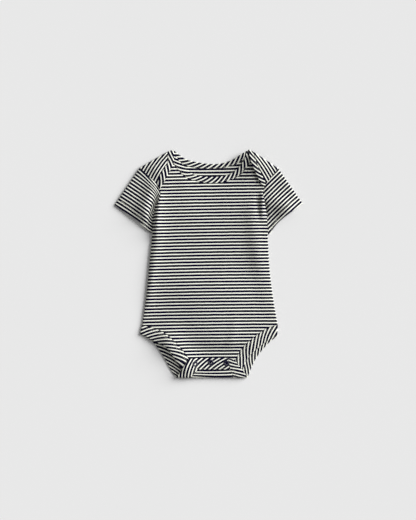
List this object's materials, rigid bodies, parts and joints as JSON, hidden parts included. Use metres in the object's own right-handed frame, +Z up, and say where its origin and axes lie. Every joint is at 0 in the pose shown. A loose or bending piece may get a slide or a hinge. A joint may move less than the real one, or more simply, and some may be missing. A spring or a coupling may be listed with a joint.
{
  "type": "baby bodysuit",
  "caption": "Striped jersey baby bodysuit with short sleeves, lapped shoulders, bias-bound neck and leg openings and a snap-fastened crotch flap, laid flat.",
  "frame": {"origin": "On the surface that the garment lies on, under the middle of its bounding box, in metres.", "axes": "+Y goes from the crotch to the neck. +X goes to the right as seen from above, which is the wearer's left. +Z goes up from the surface, out of the front of the garment."},
  "size_m": [0.3204, 0.3877, 0.0077],
  "materials": {
    "jersey": "single jersey knit in cream and navy stripes 5.6 mm apart; the colour is their mean",
    "binding": "the same striped jersey cut on the bias, folded over the edge and stitched",
    "snap_ring": "navy enamel, slightly glossy",
    "snap_stud": "plain nickel-plated metal"
  },
  "bodies": {
    "root": {"back_body": "jersey", "front_body": "jersey", "sleeve_left": "jersey", "sleeve_right": "jersey", "neck_binding_back": "binding", "neck_binding_front": "binding", "leg_binding_left": "binding", "leg_binding_right": "binding", "flap_end_binding": "binding", "front_end_binding": "binding", "snap_ring_1": "snap_ring", "snap_stud_1": "snap_stud", "snap_ring_2": "snap_ring", "snap_stud_2": "snap_stud", "snap_ring_3": "snap_ring", "snap_stud_3": "snap_stud"}
  },
  "joints": []
}
